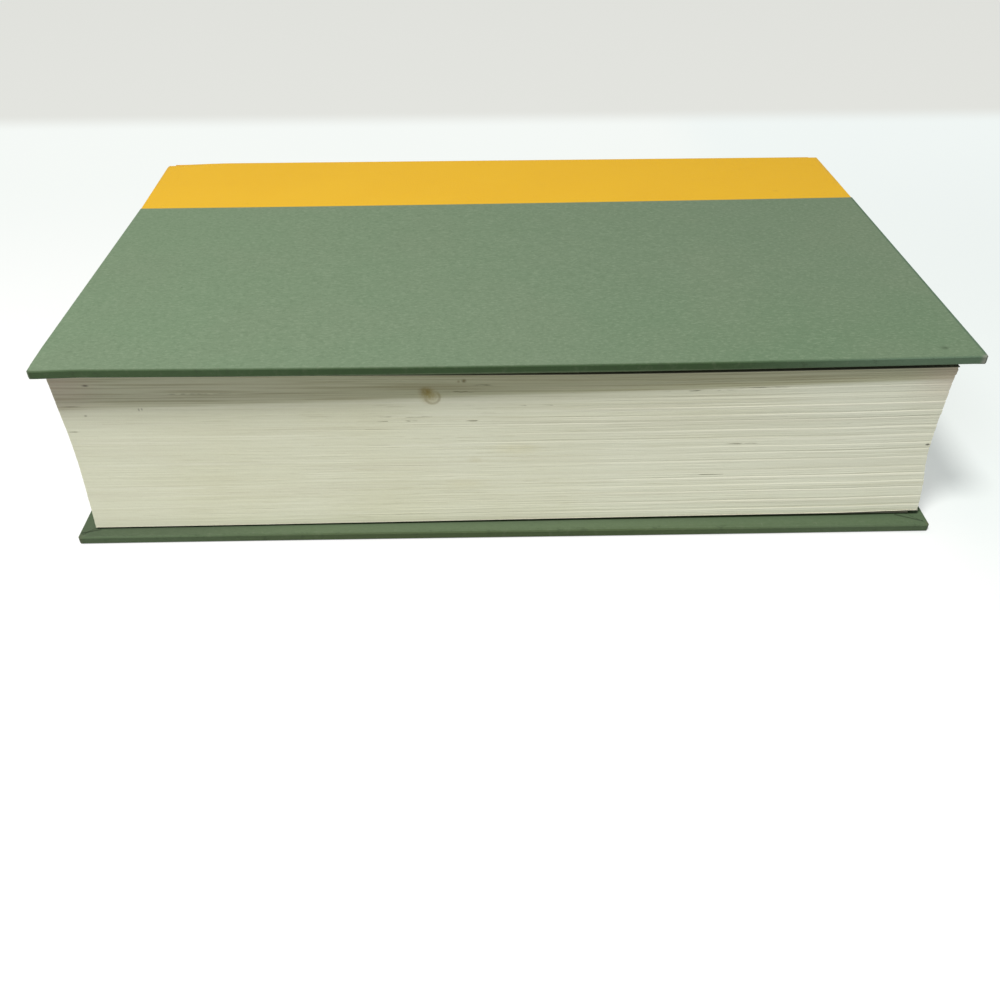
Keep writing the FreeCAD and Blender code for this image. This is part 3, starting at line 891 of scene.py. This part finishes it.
def make_spine_cloth(side, sign):
    """Half of the spine cloth with its lap: one sheet from a board to the middle of the spine."""
    lap = copied(side + "_cloth_lap")
    spine = copied("spine_cloth")
    everything = list(spine.verts) + list(spine.edges) + list(spine.faces)
    cut = bmesh.ops.bisect_plane(
        spine, geom=everything, dist=1e-7, plane_co=(0, 0, middle), plane_no=(0, 0, sign),
        clear_inner=True,
    )
    rim = [part for part in cut["geom_cut"] if isinstance(part, bmesh.types.BMEdge)]
    bmesh.ops.holes_fill(spine, edges=rim)
    data = bpy.data.meshes.new("spine_half")
    spine.to_mesh(data)
    spine.free()
    for corner in data.vertices:
        if corner.co.y < spine_low.y + 0.01 * MM:
            corner.co.y = hinge_y
    for corner in lap.verts:
        if corner.co.y > strip_high.y - 0.01 * MM:
            corner.co.y = hinge_y
    lap.from_mesh(data)
    cut_at(lap, 0, STATIONS + ENDS)
    cut_at(lap, 1, [hinge_y / MM + 0.1 * step for step in range(-2, 3)])
    cut_at(lap, 1, [69.0, 70.0, 70.8])
    moved = warped_cover if side == "front" else askew_cover
    for corner in lap.verts:
        if corner.co.y < hinge_y:
            corner.co = moved(corner.co)
        elif side == "front":
            drop = 1 - smooth((corner.co.x - cover_low.x) / SPINE_END_LENGTH, 0.0, 1.0)
            drop *= SPINE_END_DROP * smooth(corner.co.y, hinge_y, hinge_y + 1 * MM)
            corner.co.z -= drop
    piece = finished(lap, side + "_cloth", "spine_cloth", None, side + "_cloth_lap", "spine_cloth")
    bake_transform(piece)


def make_endpaper_fold(side, sign):
    """The fold of an endpaper: a folded strip between flyleaf and pastedown."""
    end = leaves_high.x
    outline = (
        (-0.10, -1.056), (-0.10, -1.020), (0.06, -0.998), (-0.30, -0.995),
        (-0.30, -0.962), (0.10, -0.970),
    )
    mesh = bmesh.new()
    rows = []
    for x in (-end, end):
        row = []
        for y, z in outline:
            height = middle + sign * (hinge_z + z * MM - middle)
            row.append(mesh.verts.new((x, hinge_y + y * MM, height)))
        rows.append(row)
    count = len(outline)
    for i in range(count):
        j = (i + 1) % count
        mesh.faces.new((rows[0][i], rows[0][j], rows[1][j], rows[1][i]))
    mesh.faces.new(rows[0])
    mesh.faces.new(rows[1])
    bmesh.ops.recalc_face_normals(mesh, faces=mesh.faces)
    cut_at(mesh, 0, STATIONS)
    piece = finished(mesh, side + "_endpaper_fold", "endpaper", None)
    start = middle + sign * (hinge_z - 1.012 * MM - middle)
    start + sign * 0.008 * MM
    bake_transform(piece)


make_leaves()
make_cover("front", warped_cover)
make_cover("back", askew_cover)
make_flyleaves()
make_headband_threads()
for side, sign in (("front", 1), ("back", -1)):
    make_spine_cloth(side, sign)
    make_endpaper_fold(side, sign)


# The room: a floor that turns greyer at the back, one key lamp and an even sky

def floor_finish():
    """A white floor that holds the book's shadow, greyer behind, with painted dimming and a painted
    soft shadow beside the book.
    """
    f = Finish("pale_floor")
    back = f.fade(f.y, 298 * MM, 333 * MM)
    seen = f.mix(f.fade(f.y, -80 * MM, 230 * MM), paint(255, 255, 255), paint(247, 251, 248))
    # Painted dimming of the floor beside and in front of the book's right end
    painted_dim = f.fade(f.x, 95 * MM, 140 * MM) * f.fade(f.y, -150 * MM, -60 * MM)
    seen = f.mix(painted_dim, seen, paint(243, 249, 247))
    # Painted soft shadow of the book on the floor to its right
    shade = spot(f, f.x, f.y, (136, -8), (46, 64), 1.0)
    seen = f.mix(shade * 0.6, seen, paint(226, 230, 228))
    seen = f.mix(back, seen, paint(229, 230, 225))
    ray = f.add("ShaderNodeLightPath", out="Is Camera Ray")
    for kind in ("Is Glossy Ray", "Is Transmission Ray"):
        ray = ray + f.add("ShaderNodeLightPath", out=kind)
    colour = f.mix(ray, paint(176, 177, 175), seen)
    matt = f.add("ShaderNodeBsdfDiffuse", None, {"Color": colour})
    glow = f.add("ShaderNodeEmission", None, {"Color": seen, "Strength": 1.0})
    share = ray * f.fade(f.y, 0.0, 300 * MM, 0.5, 0.9)
    shader = f.add("ShaderNodeMixShader", None, {0: share, 1: matt, 2: glow})
    f.add("ShaderNodeOutputMaterial", None, {"Surface": shader})
    return f.material


def make_floor():
    """One wide sheet under the book."""
    mesh = bpy.data.meshes.new("floor")
    half = 3.0
    corners = [(-half, -half, 0), (half, -half, 0), (half, half, 0), (-half, half, 0)]
    mesh.from_pydata(corners, [], [(0, 1, 2, 3)])
    floor = bpy.data.objects.new("floor", mesh)
    mesh.materials.append(floor_finish())
    bpy.context.scene.collection.objects.link(floor)


def make_lamp(name, azimuth, elevation, distance, size, watts, colour):
    """An area lamp that looks at the book. Azimuth 0 is over the camera, plus is to the right."""
    a = math.radians(azimuth)
    e = math.radians(elevation)
    way = Vector((math.sin(a) * math.cos(e), -math.cos(a) * math.cos(e), math.sin(e)))
    data = bpy.data.lights.new(name, "AREA")
    data.shape = "DISK"
    data.size = size
    data.energy = watts
    data.color = colour
    lamp = bpy.data.objects.new(name, data)
    lamp.location = way * distance + Vector((0, 0, middle))
    lamp.rotation_euler = way.to_track_quat("Z", "Y").to_euler()
    bpy.context.scene.collection.objects.link(lamp)


def make_sky(strength):
    """An even pale sky that fills the shadows, and a plain one behind the floor."""
    world = bpy.data.worlds.new("even_sky")
    world.use_nodes = True
    sums = Sums(world.node_tree)
    sums.tree.nodes.clear()
    ray = sums.add("ShaderNodeLightPath", out="Is Camera Ray")
    level = strength + ray * (0.8 - strength)
    shader = sums.add(
        "ShaderNodeBackground", None, {"Color": (0.97, 0.985, 1.0, 1.0), "Strength": level},
    )
    sums.add("ShaderNodeOutputWorld", None, {"Surface": shader})
    bpy.context.scene.world = world


def make_camera():
    """The camera of the photograph, above the fore edge."""
    data = bpy.data.cameras.new("camera")
    data.sensor_width = 36.0
    data.lens = 35.455
    data.clip_start = 0.01
    camera = bpy.data.objects.new("camera", data)
    turn = (
        Matrix.Rotation(math.radians(-1.4511), 4, "Z")
        @ Matrix.Rotation(math.radians(90 - 37.319), 4, "X")
        @ Matrix.Rotation(math.radians(-0.1239), 4, "Z")
    )
    camera.matrix_world = Matrix.Translation((-0.007738, -0.297814, 0.177755)) @ turn
    bpy.context.scene.collection.objects.link(camera)
    bpy.context.scene.camera = camera


make_floor()
make_lamp("key", -32, 64, 1.2, 0.26, 14.2, (1.0, 0.99, 0.97))
make_sky(0.22)
make_camera()
bpy.context.scene.view_settings.view_transform = "Standard"
